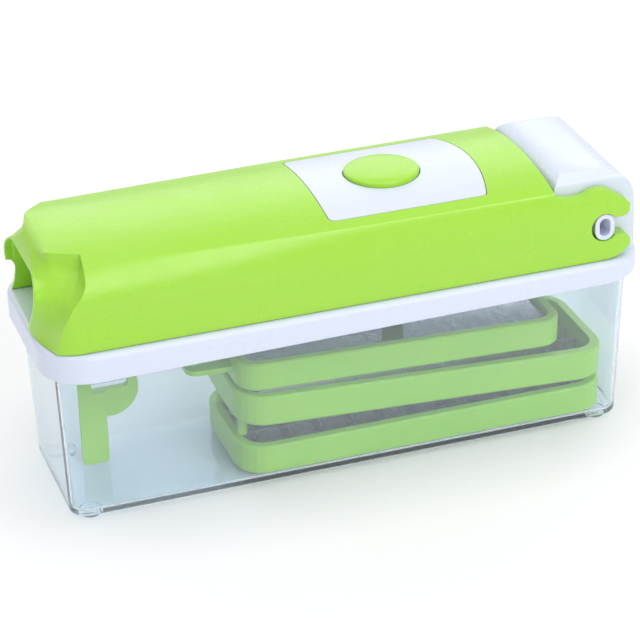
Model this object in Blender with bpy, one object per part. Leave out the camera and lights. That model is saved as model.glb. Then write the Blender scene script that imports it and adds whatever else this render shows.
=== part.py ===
"""Vegetable dicer: clear tub, white base frame, hinged green pressing lid and blade inserts.

Part frame: origin under the middle of the tub, X along the length with the hinge at +X,
+Y away from the viewer, Z up. Sizes below are in millimetres and are turned into metres
when a mesh is made.
"""
import math

import bpy
import numpy as np

MM = 0.001

# Tub
FLOOR_Z = 2.0
TUB_TOP_Z = 81.5
TUB_BOTTOM = (253.4, 68.8)
TUB_AT_RIM = (258.0, 79.6)
TUB_WALL = 1.9
FLANGE = (264.4, 86.2)
FLANGE_Z = 78.6
FOOT_RADIUS = 5.0
FOOT_XY = (117.5, 26.5)

# White base frame
RIM = (270.0, 91.6)
RIM_RADIUS = 21.2
RIM_LOW_Z = 72.0
DECK_Z = 84.75
DECK_THICK = 2.65
SKIRT_WALL = 2.3
SKIRT_RISE = 0.024
SEAT_X = -16.0
SEAT_POCKET = (173.0, 63.0)
SEAT_FLOOR_Z = 79.0
SEAT_BOTTOM_Z = 76.6
HUMP_X = (93.6, 131.0)
HUMP_HALF = 35.1

# Hinge
PIN_X = 114.5
PIN_Z = 100.3
PIN_END_Y = 41.7
CLIP_RADIUS = 15.1
CLIP_BORE = 6.35
CLIP_SLOT = 8.2
ARM_INNER_Y = 35.6
ARM_ROOT_X = 88.6

# Green lid
LID_LOW_Z = 85.1
LID_LEFT_X = -134.6
LID_REAR_X = 91.8
LID_HALF = 42.5
CREST_Z = 124.5
CROWN = 0.0034
ROOF_HALF = ((-150.0, 33.6), (-106.0, 34.0), (-64.0, 36.2), (-19.0, 38.2), (20.0, 39.0), (140.0, 39.6))
BAND_LOW = (42.0, 102.0)
LID_WALL = 2.3
LID_ROOF = 3.7
NOSE_DEPTH = 13.4
NOSE_TOP_X = -121.2
NOSE_LOW_Z = 102.0

# Panel and button in the lid
PANEL_X = (-7.2, 68.4)
PANEL_HALF = 32.4
PANEL_BOW = 5.2
PANEL_THICK = 1.6
BUTTON_XY = (27.4, 0.0)
BUTTON_HALF = (16.6, 15.6)
WELL_FLOOR_Z = 111.6

# Pressing plate
PUSHER_Z = 104.0
PUSHER_THICK = 2.5
STUD = 9.2
STUD_TIP_Z = 88.2

# Blade inserts
INSERT = (172.0, 62.0)
INSERT_OPENING = (163.0, 53.0)
INSERT_LEDGE = (157.0, 47.0)
INSERT_RADIUS = 14.0
CELL = 13.0
BLADE_THICK = 0.6

GREEN = (0.50, 0.83, 0.13, 1.0)
WHITE = (0.86, 0.88, 0.92, 1.0)
CLEAR = (0.80, 0.88, 0.95, 1.0)
STEEL = (0.66, 0.67, 0.69, 1.0)


# ---------------------------------------------------------------- helpers

def clear_scene():
    for obj in list(bpy.data.objects):
        bpy.data.objects.remove(obj, do_unlink=True)


def make_material(name, colour, roughness, metallic=0.0, alpha=1.0):
    mat = bpy.data.materials.new(name)
    mat.use_nodes = True
    shader = mat.node_tree.nodes["Principled BSDF"]
    shader.inputs["Base Color"].default_value = colour
    shader.inputs["Roughness"].default_value = roughness
    shader.inputs["Metallic"].default_value = metallic
    shader.inputs["Alpha"].default_value = alpha
    return mat


def make_object(name, verts, faces):
    mesh = bpy.data.meshes.new(name)
    points = [(p[0] * MM, p[1] * MM, p[2] * MM) for p in verts]
    mesh.from_pydata(points, [], faces)
    mesh.validate()
    obj = bpy.data.objects.new(name, mesh)
    bpy.context.scene.collection.objects.link(obj)
    if signed_volume(mesh) < 0:
        mesh.flip_normals()
    return obj


def signed_volume(mesh):
    mesh.calc_loop_triangles()
    total = 0.0
    for tri in mesh.loop_triangles:
        a, b, c = [mesh.vertices[i].co for i in tri.vertices]
        total += a.dot(b.cross(c))
    return total


def loft(name, sections, split=False):
    """Closed solid through rings of equal count; split makes warped sides into flat triangles."""
    count = len(sections[0])
    verts = [point for ring in sections for point in ring]
    faces = [tuple(reversed(range(count)))]
    for s in range(len(sections) - 1):
        for i in range(count):
            j = (i + 1) % count
            side = (s * count + i, s * count + j, (s + 1) * count + j, (s + 1) * count + i)
            faces += [side[:3], (side[0], side[2], side[3])] if split else [side]
    last = (len(sections) - 1) * count
    faces.append(tuple(last + i for i in range(count)))
    return make_object(name, verts, faces)


def prism(name, outline, axis, low, high):
    """Outline extruded along an axis; x takes (y, z), y takes (x, z), z takes (x, y)."""
    def place(pair, along):
        if axis == "x":
            return (along, pair[0], pair[1])
        if axis == "y":
            return (pair[0], along, pair[1])
        return (pair[0], pair[1], along)
    return loft(name, [[place(p, low) for p in outline], [place(p, high) for p in outline]])


def rounded_rect(length, width, radius, cx=0.0, cy=0.0, steps=6):
    points = []
    corners = ((1, -1, -90), (1, 1, 0), (-1, 1, 90), (-1, -1, 180))
    for sx, sy, start in corners:
        for k in range(steps + 1):
            a = math.radians(start + 90.0 * k / steps)
            x = cx + sx * (length / 2 - radius) + radius * math.cos(a)
            y = cy + sy * (width / 2 - radius) + radius * math.sin(a)
            points.append((x, y))
    return points


def ring(size, radius, z, inset=0.0, steps=6):
    outline = rounded_rect(size[0] - 2 * inset, size[1] - 2 * inset, max(radius - inset, 0.8), steps=steps)
    return [(x, y, z) for x, y in outline]


def square(side, cx, cy):
    half = side / 2
    return [(cx - half, cy - half), (cx + half, cy - half), (cx + half, cy + half), (cx - half, cy + half)]


def ellipse(rx, ry, cx, cy, count=40):
    steps = [2 * math.pi * k / count for k in range(count)]
    return [(cx + rx * math.cos(a), cy + ry * math.sin(a)) for a in steps]


def boolean(target, cutter, operation):
    """Apply one exact Boolean and drop the cutter."""
    mod = target.modifiers.new("cut", "BOOLEAN")
    mod.operation = operation
    mod.solver = "EXACT"
    mod.object = cutter
    bpy.context.view_layer.update()
    graph = bpy.context.evaluated_depsgraph_get()
    mesh = bpy.data.meshes.new_from_object(target.evaluated_get(graph))
    target.modifiers.clear()
    old = target.data
    target.data = mesh
    bpy.data.meshes.remove(old)
    bpy.data.objects.remove(cutter, do_unlink=True)
    return target


def cut(target, cutter):
    return boolean(target, cutter, "DIFFERENCE")


def join(target, other):
    return boolean(target, other, "UNION")


def common(target, other):
    return boolean(target, other, "INTERSECT")


def finish(obj, name, material, angle=32.0):
    obj.name = name
    obj.data.name = name
    obj.data.materials.clear()
    obj.data.materials.append(material)
    for poly in obj.data.polygons:
        poly.use_smooth = True
    obj.data.set_sharp_from_angle(angle=math.radians(angle))
    return obj


def move_origin(obj, point):
    """Put the origin on a joint axis without moving the mesh in space."""
    shift = [c * MM for c in point]
    for vert in obj.data.vertices:
        vert.co.x -= shift[0]
        vert.co.y -= shift[1]
        vert.co.z -= shift[2]
    obj.location = shift


# ---------------------------------------------------------------- tub

def tub_size(z):
    t = (z - FLOOR_Z) / (RIM_LOW_Z - FLOOR_Z)
    length = TUB_BOTTOM[0] + t * (TUB_AT_RIM[0] - TUB_BOTTOM[0])
    width = TUB_BOTTOM[1] + t * (TUB_AT_RIM[1] - TUB_BOTTOM[1])
    return (length, width), 8.0 + 3.0 * t


def build_tub(material):
    outer = []
    for z, inset in ((FLOOR_Z, 2.6), (FLOOR_Z + 0.7, 0.9), (FLOOR_Z + 2.4, 0.0), (FLANGE_Z, 0.0)):
        size, radius = tub_size(z)
        outer.append(ring(size, radius, z, inset))
    flange = [ring(FLANGE, 17.5, FLANGE_Z), ring(FLANGE, 17.5, TUB_TOP_Z)]
    inner = []
    for z, inset in ((TUB_TOP_Z, 0.0), (FLOOR_Z + 4.6, 0.0), (FLOOR_Z + 2.8, 0.8), (FLOOR_Z + 2.0, 2.8)):
        size, radius = tub_size(z)
        inner.append(ring(size, radius, z, TUB_WALL + inset))
    tub = loft("tub", outer + flange + inner)
    for sx in (-1, 1):
        for sy in (-1, 1):
            disc = ellipse(FOOT_RADIUS, FOOT_RADIUS, sx * FOOT_XY[0], sy * FOOT_XY[1], 20)
            join(tub, prism("foot", disc, "z", 0.0, FLOOR_Z + 0.6))
    return finish(tub, "container", material)


# ---------------------------------------------------------------- base frame

def skirt_edge(points):
    """Lower edge of the skirt, a little higher towards the hinge."""
    return [(x, y, z + SKIRT_RISE * max(x, 0.0)) for x, y, z in points]


def build_rim():
    ceiling = DECK_Z - DECK_THICK
    inner = (RIM[0] - 2 * SKIRT_WALL, RIM[1] - 2 * SKIRT_WALL)
    inner_radius = RIM_RADIUS - SKIRT_WALL
    sections = [
        ring(inner, inner_radius, ceiling),
        skirt_edge(ring(inner, inner_radius, RIM_LOW_Z)),
        skirt_edge(ring(RIM, RIM_RADIUS, RIM_LOW_Z, 0.4)),
        skirt_edge(ring(RIM, RIM_RADIUS, RIM_LOW_Z + 0.8)),
        ring(RIM, RIM_RADIUS, DECK_Z - 2.2),
        ring(RIM, RIM_RADIUS, DECK_Z - 0.7, 0.6),
        ring(RIM, RIM_RADIUS, DECK_Z, 2.0),
    ]
    return loft("rim", sections)


def hump_side_profile():
    x0, x1 = HUMP_X
    return [
        (x0, 82.6), (x0, 118.3), (95.0, 120.9), (98.0, 123.6), (101.0, 125.1), (104.5, 125.6),
        (112.0, 124.6), (120.0, 122.6), (125.0, 120.4), (128.4, 117.2), (130.4, 112.6),
        (x1, 106.0), (x1, 82.6),
    ]


def hump_cross_profile(half, top):
    side = [(half, 82.0), (half, top - 12.0), (half - 0.9, top - 7.0), (half - 3.0, top - 3.9)]
    crown = [(half - 6.5, top - 2.0), (half - 14.0, top - 0.7), (0.0, top)]
    right = side + crown
    left = [(-y, z) for y, z in reversed(right[:-1])]
    return right + left


def build_hump(inset):
    x0, x1 = HUMP_X
    mid = (x0 + x1) / 2
    scale = (x1 - x0 - 2 * inset) / (x1 - x0)
    outline = []
    for x, z in hump_side_profile():
        lift = inset if z > 90 or inset == 0 else 4.0
        outline.append((mid + (x - mid) * scale, z - lift))
    hump = prism("hump", outline, "y", -60.0, 60.0)
    cross = hump_cross_profile(HUMP_HALF - inset, 125.9 - inset)
    if inset > 0:
        cross = [(y, z - 4.0 if z < 90 else z) for y, z in cross]
    return common(hump, prism("hump_cross", cross, "x", x0 - 10, x1 + 10))


def obround(width, height, cx, cz, steps=8):
    radius = width / 2
    rise = height / 2 - radius
    points = []
    for start, offset in ((0, rise), (180, -rise)):
        for k in range(steps + 1):
            a = math.radians(start + 180.0 * k / steps)
            points.append((cx + radius * math.cos(a), cz + offset + radius * math.sin(a)))
    return points


def build_base(material):
    base = build_rim()
    seat_outer = (SEAT_POCKET[0] + 4.4, SEAT_POCKET[1] + 4.4)
    seat_box = rounded_rect(seat_outer[0], seat_outer[1], INSERT_RADIUS + 2.4, SEAT_X)
    join(base, prism("seat", seat_box, "z", SEAT_BOTTOM_Z, DECK_Z - 1.0))
    pocket = rounded_rect(SEAT_POCKET[0], SEAT_POCKET[1], INSERT_RADIUS + 0.4, SEAT_X)
    cut(base, prism("pocket", pocket, "z", SEAT_FLOOR_Z, DECK_Z + 5))
    opening = rounded_rect(INSERT_LEDGE[0], INSERT_LEDGE[1], 8.0, SEAT_X)
    cut(base, prism("opening", opening, "z", SEAT_BOTTOM_Z - 5, DECK_Z + 5))
    join(base, build_hump(0.0))
    for side in (-1, 1):
        pin = prism("pin", obround(9.0, 12.0, PIN_X, PIN_Z), "y", side * 33.4, side * PIN_END_Y)
        join(base, pin)
    cut(base, build_hump(2.4))
    for side in (-1, 1):
        bore = prism("bore", obround(5.0, 8.2, PIN_X, PIN_Z), "y", side * 30.0, side * 60.0)
        cut(base, bore)
    return finish(base, "base_frame", material)


# ---------------------------------------------------------------- lid

def crown_z(y, drop=0.0):
    return CREST_Z - CROWN * y * y - drop


def lid_half_section(crease):
    """Right half of the lid's cross-section: wall, rounded band, crease, then the low roof."""
    y0, z0 = BAND_LOW
    z1 = crown_z(crease)
    side = [(LID_HALF, LID_LOW_Z), (42.25, 94.0), BAND_LOW]
    side += [(y0 - (y0 - crease) * t ** 1.9, z0 + (z1 - z0) * t) for t in (0.28, 0.53, 0.78)]
    return side + [(crease * t, crown_z(crease * t)) for t in (1.0, 0.9, 0.75, 0.56, 0.37, 0.18, 0.0)]


def mirror_section(half):
    return half + [(-y, z) for y, z in reversed(half[:-1])]


def lid_section(crease, outer):
    half = lid_half_section(crease)
    if outer:
        return mirror_section([(LID_HALF, LID_LOW_Z - 2)] + half)
    inner = []
    for y, z in half:
        drop = LID_ROOF if y <= crease else LID_WALL * 0.6
        inner.append((max(y - LID_WALL, 0.0), z - drop if z > 110 else z))
    inner[0] = (LID_HALF - LID_WALL, LID_LOW_Z - 4)
    return mirror_section(inner)


def lid_body(name, outer, x_end):
    """Cross-section carried along the lid, its crease running outwards towards the hinge."""
    sections = []
    for x, crease in ROOF_HALF:
        sections.append([(min(x, x_end), y, z) for y, z in lid_section(crease, outer)])
    return loft(name, sections, split=True)


def nose_profile(inset):
    """Round nose at the left end of the lid, seen from the side."""
    points = [(LID_LEFT_X + inset, 80.0)]
    for k in range(9):
        a = math.radians(90.0 * k / 8)
        x = NOSE_TOP_X - (NOSE_DEPTH - inset) * math.cos(a)
        z = NOSE_LOW_Z + (CREST_Z - NOSE_LOW_Z - inset) * math.sin(a)
        points.append((x, z))
    return points


def lid_side_outline():
    """Side outline: nose, roof, then the hinge arms with their round clips."""
    points = nose_profile(0.0)
    points += [(LID_REAR_X, CREST_Z), (LID_REAR_X, 117.6), (96.0, 116.0), (100.3, 115.4), (104.5, 115.6)]
    points += [(108.0, 117.0), (111.5, 117.8), (115.0, 117.4), (118.4, 115.8), (121.2, 113.8)]
    for k in range(15):
        a = math.radians(52.0 - 148.0 * k / 14)
        points.append((PIN_X + CLIP_RADIUS * math.cos(a), PIN_Z + CLIP_RADIUS * math.sin(a)))
    return points + [(111.6, 80.0)]


def cavity_side_outline():
    return nose_profile(LID_WALL) + [(150.0, CREST_Z - LID_WALL), (150.0, 80.0)]


def lid_plan(inset):
    """Plan outline of the lid with the two round corners of the nose."""
    radius = 16.0 - inset
    left = LID_LEFT_X + inset
    half = LID_HALF - inset
    points = []
    for k in range(9):
        a = math.radians(90 + 90.0 * k / 8)
        points.append((left + radius + radius * math.cos(a), half - radius + radius * math.sin(a)))
    for k in range(9):
        a = math.radians(180 + 90.0 * k / 8)
        points.append((left + radius + radius * math.cos(a), -half + radius + radius * math.sin(a)))
    return points + [(160.0, -half), (160.0, half)]


SCOOP_LEVELS = (
    (84.0, ((-140, -9), (-135.2, -13), (-134.6, -20), (-133.4, -27), (-131.6, -33), (-129.8, -38),
            (-128.6, -42), (-128, -46), (-127.4, -50))),
    (88.0, ((-140, -12), (-134.2, -16), (-133.2, -20.5), (-131.8, -26), (-130.2, -32), (-128.8, -37),
            (-128, -41.4), (-127.8, -45), (-127.4, -50))),
    (95.0, ((-140, -19), (-133.5, -22), (-132, -24.5), (-130, -28), (-128.4, -32), (-127.2, -37),
            (-126.6, -42), (-126.4, -45), (-126, -50))),
    (104.0, ((-140, -25), (-133.2, -28), (-131, -28.5), (-128, -30), (-125, -33), (-123.3, -37),
             (-122.6, -41.3), (-122.4, -44), (-122.4, -50))),
    (109.0, ((-140, -24), (-133.3, -26.8), (-130.5, -27.3), (-126.8, -28.5), (-122.5, -31), (-119, -35),
             (-118.2, -39), (-118.1, -43), (-118.4, -50))),
    (113.0, ((-140, -18), (-132.7, -21.2), (-130.5, -23), (-126.5, -25.5), (-121.5, -27.5), (-116.5, -31),
             (-115.2, -36), (-115.4, -41), (-115.8, -50))),
    (117.0, ((-140, -9), (-131.2, -12.4), (-129.5, -18), (-126, -22.5), (-120.5, -24.5), (-114.2, -27.8),
             (-114.5, -35.5), (-114.6, -41), (-115, -50))),
    (122.0, ((-140, -2), (-128.7, -5.3), (-128.2, -12), (-126.6, -20), (-121, -23.1), (-113.4, -25.7),
             (-114.2, -33), (-114.6, -40), (-115, -50))),
    (130.0, ((-140, -2), (-128.7, -5.3), (-128.2, -12), (-126.6, -20), (-121, -23.1), (-113.4, -25.7),
             (-114.2, -33), (-114.6, -40), (-115, -50))),
)

FAR_CORNER = ((-126, -19.4), (-122.4, -25), (-119, -29.4), (-115.4, -34), (-111.4, -38.6), (-102, -50))


def smooth_chain(points, per_span):
    """Catmull-Rom curve through a few points."""
    pts = np.array(points, dtype=float)
    padded = np.vstack([2 * pts[0] - pts[1], pts, 2 * pts[-1] - pts[-2]])
    curve = []
    for i in range(len(pts) - 1):
        a, b, c, d = padded[i:i + 4]
        for k in range(per_span):
            t = k / per_span
            linear = 2 * b + (c - a) * t
            bend = (2 * a - 5 * b + 4 * c - d) * t * t + (3 * b - 3 * c + d - a) * t ** 3
            curve.append((linear + bend) / 2)
    curve.append(pts[-1])
    return np.array(curve)


def scoop_row(z, row, side):
    """Plan line of a scoop at one height; the far roof corner is eased into a plain curve."""
    if side < 0:
        return row
    ease = min(max((z - 113.0) / 4.0, 0.0), 1.0)
    eased = [(x + (fx - x) * ease, y + (fy - y) * ease) for (x, y), (fx, fy) in zip(row[3:], FAR_CORNER)]
    return list(row[:3]) + eased


def build_scoop(side, shift):
    """Concave finger scoop at one corner of the nose, moved inward by shift."""
    levels = [[(x, y, z) for x, y in scoop_row(z, row, side)] for z, row in SCOOP_LEVELS]
    levels = np.array(levels, dtype=float)
    columns = [smooth_chain(levels[:, i], 2) for i in range(levels.shape[1])]
    sections = []
    for s in range(len(columns[0])):
        row = [column[s] for column in columns]
        z = row[0][2]
        inner = [(x + shift, (y + shift) * side * -1, z) for x, y, _ in row]
        outer = [(-135.0, 70.0 * side, z), (-160.0, 60.0 * side, z), (-165.0, 20.0 * side, z)]
        sections.append(inner + outer)
    return loft("scoop", sections, split=True)


def cut_arch(lid):
    """Horseshoe opening in the front of the nose; only its middle part goes deep."""
    half = [(9.8, 80.0), (11.6, 85.0), (14.3, 88.5), (17.0, 91.5), (20.3, 95.5), (23.8, 99.5)]
    half += [(26.0, 104.0), (25.8, 107.5), (23.4, 110.6), (19.4, 112.8), (16.0, 113.5)]
    outline = half + [(-y, z) for y, z in reversed(half)]
    cut(lid, prism("arch", outline, "x", -150.0, -131.6))
    half = [(8.6, 80.0), (11.0, 86.0), (13.0, 88.5), (15.5, 91.5), (18.4, 96.0), (21.0, 101.0)]
    half += [(21.0, 106.0), (18.6, 110.4), (15.7, 113.0)]
    outline = half + [(-y, z) for y, z in reversed(half)]
    cut(lid, prism("arch_deep", outline, "x", -151.0, -124.0))
    foot = [(0.0, 80.0), (27.0, 80.0), (27.6, 88.0), (27.3, 95.0), (26.2, 99.5), (24.0, 102.0), (0.0, 102.0)]
    cut(lid, prism("far_foot", foot, "x", -152.0, -123.5))


def cut_clip(lid, side):
    """Round bore for the pin and the slot that opens it towards the rear."""
    y0, y1 = side * 30.0, side * 60.0
    cut(lid, prism("bore", ellipse(CLIP_BORE, CLIP_BORE, PIN_X, PIN_Z, 32), "y", y0, y1))
    low = PIN_Z - CLIP_SLOT / 2
    high = PIN_Z + CLIP_SLOT / 2
    jaw = [(8.1, 0.0), (10.1, 0.5), (11.2, 1.6), (11.6, 3.2), (11.9, 12.0), (36.0, 12.0)]
    slot = [(PIN_X, low)] + [(PIN_X + dx, low - dz) for dx, dz in jaw]
    slot += [(PIN_X + dx, high + dz) for dx, dz in reversed(jaw)] + [(PIN_X, high)]
    cut(lid, prism("slot", slot, "y", y0, y1))


def panel_outline(grow):
    x0, x1 = PANEL_X
    half = PANEL_HALF + grow
    radius = (PANEL_HALF ** 2 + PANEL_BOW ** 2) / (2 * PANEL_BOW)
    corner = 3.0
    points = []
    for y in np.linspace(-half + 1.2, half - 1.2, 13):
        points.append((x1 + grow - radius + math.sqrt(radius ** 2 - y * y), y))
    last = points[-1]
    points.append((last[0] - 2.2, half))
    for k in range(4):
        a = math.radians(90 + 30.0 * k)
        points.append((x0 - grow + corner + corner * math.cos(a), half - corner + corner * math.sin(a)))
    for k in range(4):
        a = math.radians(180 + 30.0 * k)
        points.append((x0 - grow + corner + corner * math.cos(a), -half + corner + corner * math.sin(a)))
    points.append((last[0] - 2.2, -half))
    return points


def crown_band(low_drop, high_drop, x0, x1):
    """Slab that follows the crown of the lid between two depths."""
    ys = np.linspace(-36.0, 36.0, 13)
    low = [(y, crown_z(y, low_drop)) for y in ys]
    high = [(y, crown_z(y, high_drop)) for y in reversed(ys)]
    return prism("band", low + high, "x", x0, x1)


def lid_cavity():
    """Hollow under the roof, kept clear of the scoops and of the button well."""
    cavity = lid_body("cavity", False, ARM_ROOT_X)
    common(cavity, prism("side", cavity_side_outline(), "y", -60.0, 60.0))
    common(cavity, prism("plan", lid_plan(LID_WALL), "z", 78.0, 140.0))
    for side in (-1, 1):
        cut(cavity, build_scoop(side, 1.8))
    bx, by = BUTTON_XY
    well = ellipse(BUTTON_HALF[0] + 2.6, BUTTON_HALF[1] + 2.6, bx, by)
    cut(cavity, prism("well", well, "z", WELL_FLOOR_Z - 1.8, 140.0))
    return cavity


def rear_gap():
    """Space between the hinge arms, under the rear end of the roof."""
    ys = np.linspace(-ARM_INNER_Y, ARM_INNER_Y, 9)
    roof = [(y, crown_z(y, LID_ROOF + 0.1)) for y in ys]
    return prism("gap", [(ARM_INNER_Y, 78.0), (-ARM_INNER_Y, 78.0)] + roof, "x", ARM_ROOT_X - 3.0, LID_REAR_X + 4)


def build_lid(material):
    lid = lid_body("lid", True, 140.0)
    common(lid, prism("side", lid_side_outline(), "y", -60.0, 60.0))
    common(lid, prism("plan", lid_plan(0.0), "z", LID_LOW_Z, 140.0))
    middle = [(LID_REAR_X, -ARM_INNER_Y), (150.0, -ARM_INNER_Y), (150.0, ARM_INNER_Y), (LID_REAR_X, ARM_INNER_Y)]
    cut(lid, prism("middle", middle, "z", 70.0, 140.0))
    for side in (-1, 1):
        cut(lid, build_scoop(side, 0.0))
        cut_clip(lid, side)
    cut(lid, lid_cavity())
    cut(lid, rear_gap())
    cut_arch(lid)
    recess = crown_band(PANEL_THICK + 0.3, -5.0, PANEL_X[0] - 10, PANEL_X[1] + 10)
    common(recess, prism("recess", panel_outline(0.35), "z", 100.0, 140.0))
    cut(lid, recess)
    bx, by = BUTTON_XY
    shaft = ellipse(BUTTON_HALF[0] + 0.5, BUTTON_HALF[1] + 0.5, bx, by)
    cut(lid, prism("shaft", shaft, "z", WELL_FLOOR_Z, 140.0))
    cut(lid, prism("stem_hole", ellipse(3.6, 3.6, bx, by, 24), "z", 90.0, 140.0))
    finish(lid, "lid_shell", material)
    move_origin(lid, (PIN_X, 0.0, PIN_Z))
    return lid


def build_panel(material):
    panel = prism("panel", panel_outline(0.0), "z", 110.0, 135.0)
    hole = ellipse(BUTTON_HALF[0] + 0.4, BUTTON_HALF[1] + 0.4, *BUTTON_XY)
    cut(panel, prism("hole", hole, "z", 100.0, 140.0))
    common(panel, crown_band(PANEL_THICK, 0.0, PANEL_X[0] - 10, PANEL_X[1] + 10))
    return finish(panel, "lid_panel", material)


def build_button(material):
    bx, by = BUTTON_XY
    rx, ry = BUTTON_HALF
    sections = []
    for z, scale in ((119.4, 1.0), (124.9, 1.0), (125.9, 0.955), (126.5, 0.84), (126.9, 0.6), (127.0, 0.3)):
        sections.append([(x, y, z) for x, y in ellipse(rx * scale, ry * scale, bx, by)])
    button = loft("button", sections)
    join(button, prism("stem", ellipse(3.0, 3.0, bx, by, 20), "z", 110.4, 120.0))
    finish(button, "release_button", material)
    move_origin(button, (bx, by, 119.4))
    return button


def build_spring(material):
    """Coil spring under the button, swept as a six-sided wire."""
    turns, radius, wire = 4.5, 7.0, 0.55
    low, high = WELL_FLOOR_Z + 0.9, 118.5
    bx, by = BUTTON_XY
    steps = int(turns * 16)
    sections = []
    for k in range(steps + 1):
        a = 2 * math.pi * turns * k / steps
        z = low + (high - low) * k / steps
        centre = np.array([bx + radius * math.cos(a), by + radius * math.sin(a), z])
        outward = np.array([math.cos(a), math.sin(a), 0.0])
        up = np.array([0.0, 0.0, 1.0])
        section = []
        for j in range(6):
            b = 2 * math.pi * j / 6
            section.append(tuple(centre + wire * (math.cos(b) * outward + math.sin(b) * up)))
        sections.append(section)
    return finish(loft("spring", sections), "button_spring", material, 60.0)


def cell_centres():
    xs = [SEAT_X + CELL * (k - 5.5) for k in range(12)]
    ys = [CELL * (k - 1.5) for k in range(4)]
    return xs, ys


def build_pusher(material):
    """Pressing plate with one stud over each cell of the fitted blades."""
    plate_outline = rounded_rect(166.0, 58.0, 6.0, SEAT_X)
    plate = prism("plate", plate_outline, "z", PUSHER_Z, PUSHER_Z + PUSHER_THICK)
    xs, ys = cell_centres()
    for x in xs:
        for y in ys:
            low = square(STUD - 1.4, x, y)
            top = square(STUD, x, y)
            tip = [(px, py, STUD_TIP_Z) for px, py in low]
            shoulder = [(px, py, STUD_TIP_Z + 1.2) for px, py in top]
            root = [(px, py, PUSHER_Z + 0.6) for px, py in top]
            join(plate, loft("stud", [tip, shoulder, root]))
    for x in (SEAT_X - 74.0, SEAT_X + 74.0):
        for y in (-20.0, 20.0):
            top = crown_z(abs(y) + 4.0, LID_ROOF + 0.4)
            post = ellipse(4.0, 4.0, x, y, 12)
            join(plate, prism("post", post, "z", PUSHER_Z + 1.0, top))
    return finish(plate, "pusher_plate", material)


# ---------------------------------------------------------------- inserts

def insert_ring(size, radius, cx, z0, height):
    """Frame of an insert: rounded outer wall with a ledge that carries the blades."""
    outer = []
    for z, inset in ((z0, 1.0), (z0 + 1.0, 0.0), (z0 + height - 0.8, 0.0), (z0 + height, 0.8)):
        outline = rounded_rect(size[0] - 2 * inset, size[1] - 2 * inset, radius - inset, cx)
        outer.append([(x, y, z) for x, y in outline])
    return loft("frame", outer)


def build_frame(name, cx, z0, height, material):
    frame = insert_ring(INSERT, INSERT_RADIUS, cx, z0, height)
    upper = rounded_rect(INSERT_OPENING[0], INSERT_OPENING[1], 9.5, cx)
    cut(frame, prism("upper", upper, "z", z0 + 1.8, z0 + height + 5))
    lower = rounded_rect(INSERT_LEDGE[0], INSERT_LEDGE[1], 7.0, cx)
    cut(frame, prism("lower", lower, "z", z0 - 5, z0 + height + 5))
    return finish(frame, name, material)


def blade_strip(name, length, height, cx, cy, z0, along_x):
    """Thin steel strip with a ground upper edge."""
    half = BLADE_THICK / 2
    profile = [(-half, z0), (half, z0), (half, z0 + height - 1.2), (0.0, z0 + height), (-half, z0 + height - 1.2)]
    if along_x:
        outline = [(cy + a, z) for a, z in profile]
        return prism(name, outline, "x", cx - length / 2, cx + length / 2)
    outline = [(cx + a, z) for a, z in profile]
    return prism(name, outline, "y", cy - length / 2, cy + length / 2)


def build_fitted_insert(frame_mat, steel):
    z0 = SEAT_FLOOR_Z + 0.3
    parts = [build_frame("fitted_frame", SEAT_X, z0, 11.8, frame_mat)]
    for k in range(3):
        y = CELL * (k - 1)
        strip = blade_strip("long", 160.0, 4.6, SEAT_X, y, z0 + 2.1, True)
        parts.append(finish(strip, "fitted_blade_long_%d" % (k + 1), steel))
    for k in range(11):
        x = SEAT_X + CELL * (k - 5)
        strip = blade_strip("cross", 52.2, 4.6, x, 0.0, z0 + 7.0, False)
        parts.append(finish(strip, "fitted_blade_cross_%02d" % (k + 1), steel))
    return parts


def blade_grid(name, cx, z0, long_count, cross_count, material):
    """Blades of a stored insert, welded into one grid."""
    length, width = INSERT_OPENING[0] - 0.8, INSERT_OPENING[1] - 0.8
    grid = None
    pitch_y = width / (long_count + 1)
    for k in range(long_count):
        y = -width / 2 + pitch_y * (k + 1)
        run = length if abs(y) < width / 2 - 9 else length - 12.0
        strip = blade_strip("long", run, 6.0, cx, y, z0 + 2.1, True)
        grid = strip if grid is None else join(grid, strip)
    pitch_x = (length - 16.0) / max(cross_count - 1, 1)
    for k in range(cross_count):
        x = cx - length / 2 + 8.0 + pitch_x * k
        join(grid, blade_strip("cross", width, 6.4, x, 0.0, z0 + 2.1, False))
    return finish(grid, name, material)


def tilt(objects, degrees, pivot_x, pivot_z):
    """Turn loose pieces about Y so the far end from the hinge stands higher."""
    a = math.radians(degrees)
    px, pz = pivot_x * MM, pivot_z * MM
    for obj in objects:
        for vert in obj.data.vertices:
            dx, dz = vert.co.x - px, vert.co.z - pz
            vert.co.x = px + dx * math.cos(a) + dz * math.sin(a)
            vert.co.z = pz - dx * math.sin(a) + dz * math.cos(a)


def add_pegs(frame, cx, z0, length):
    """Two locating pegs under the end of an insert that faces away from the hinge."""
    for y in (-16.0, 16.0):
        peg = ellipse(2.2, 2.2, cx - INSERT[0] / 2 + 5.0, y, 14)
        join(frame, prism("peg", peg, "z", z0 - length, z0 + 1.5))


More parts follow.
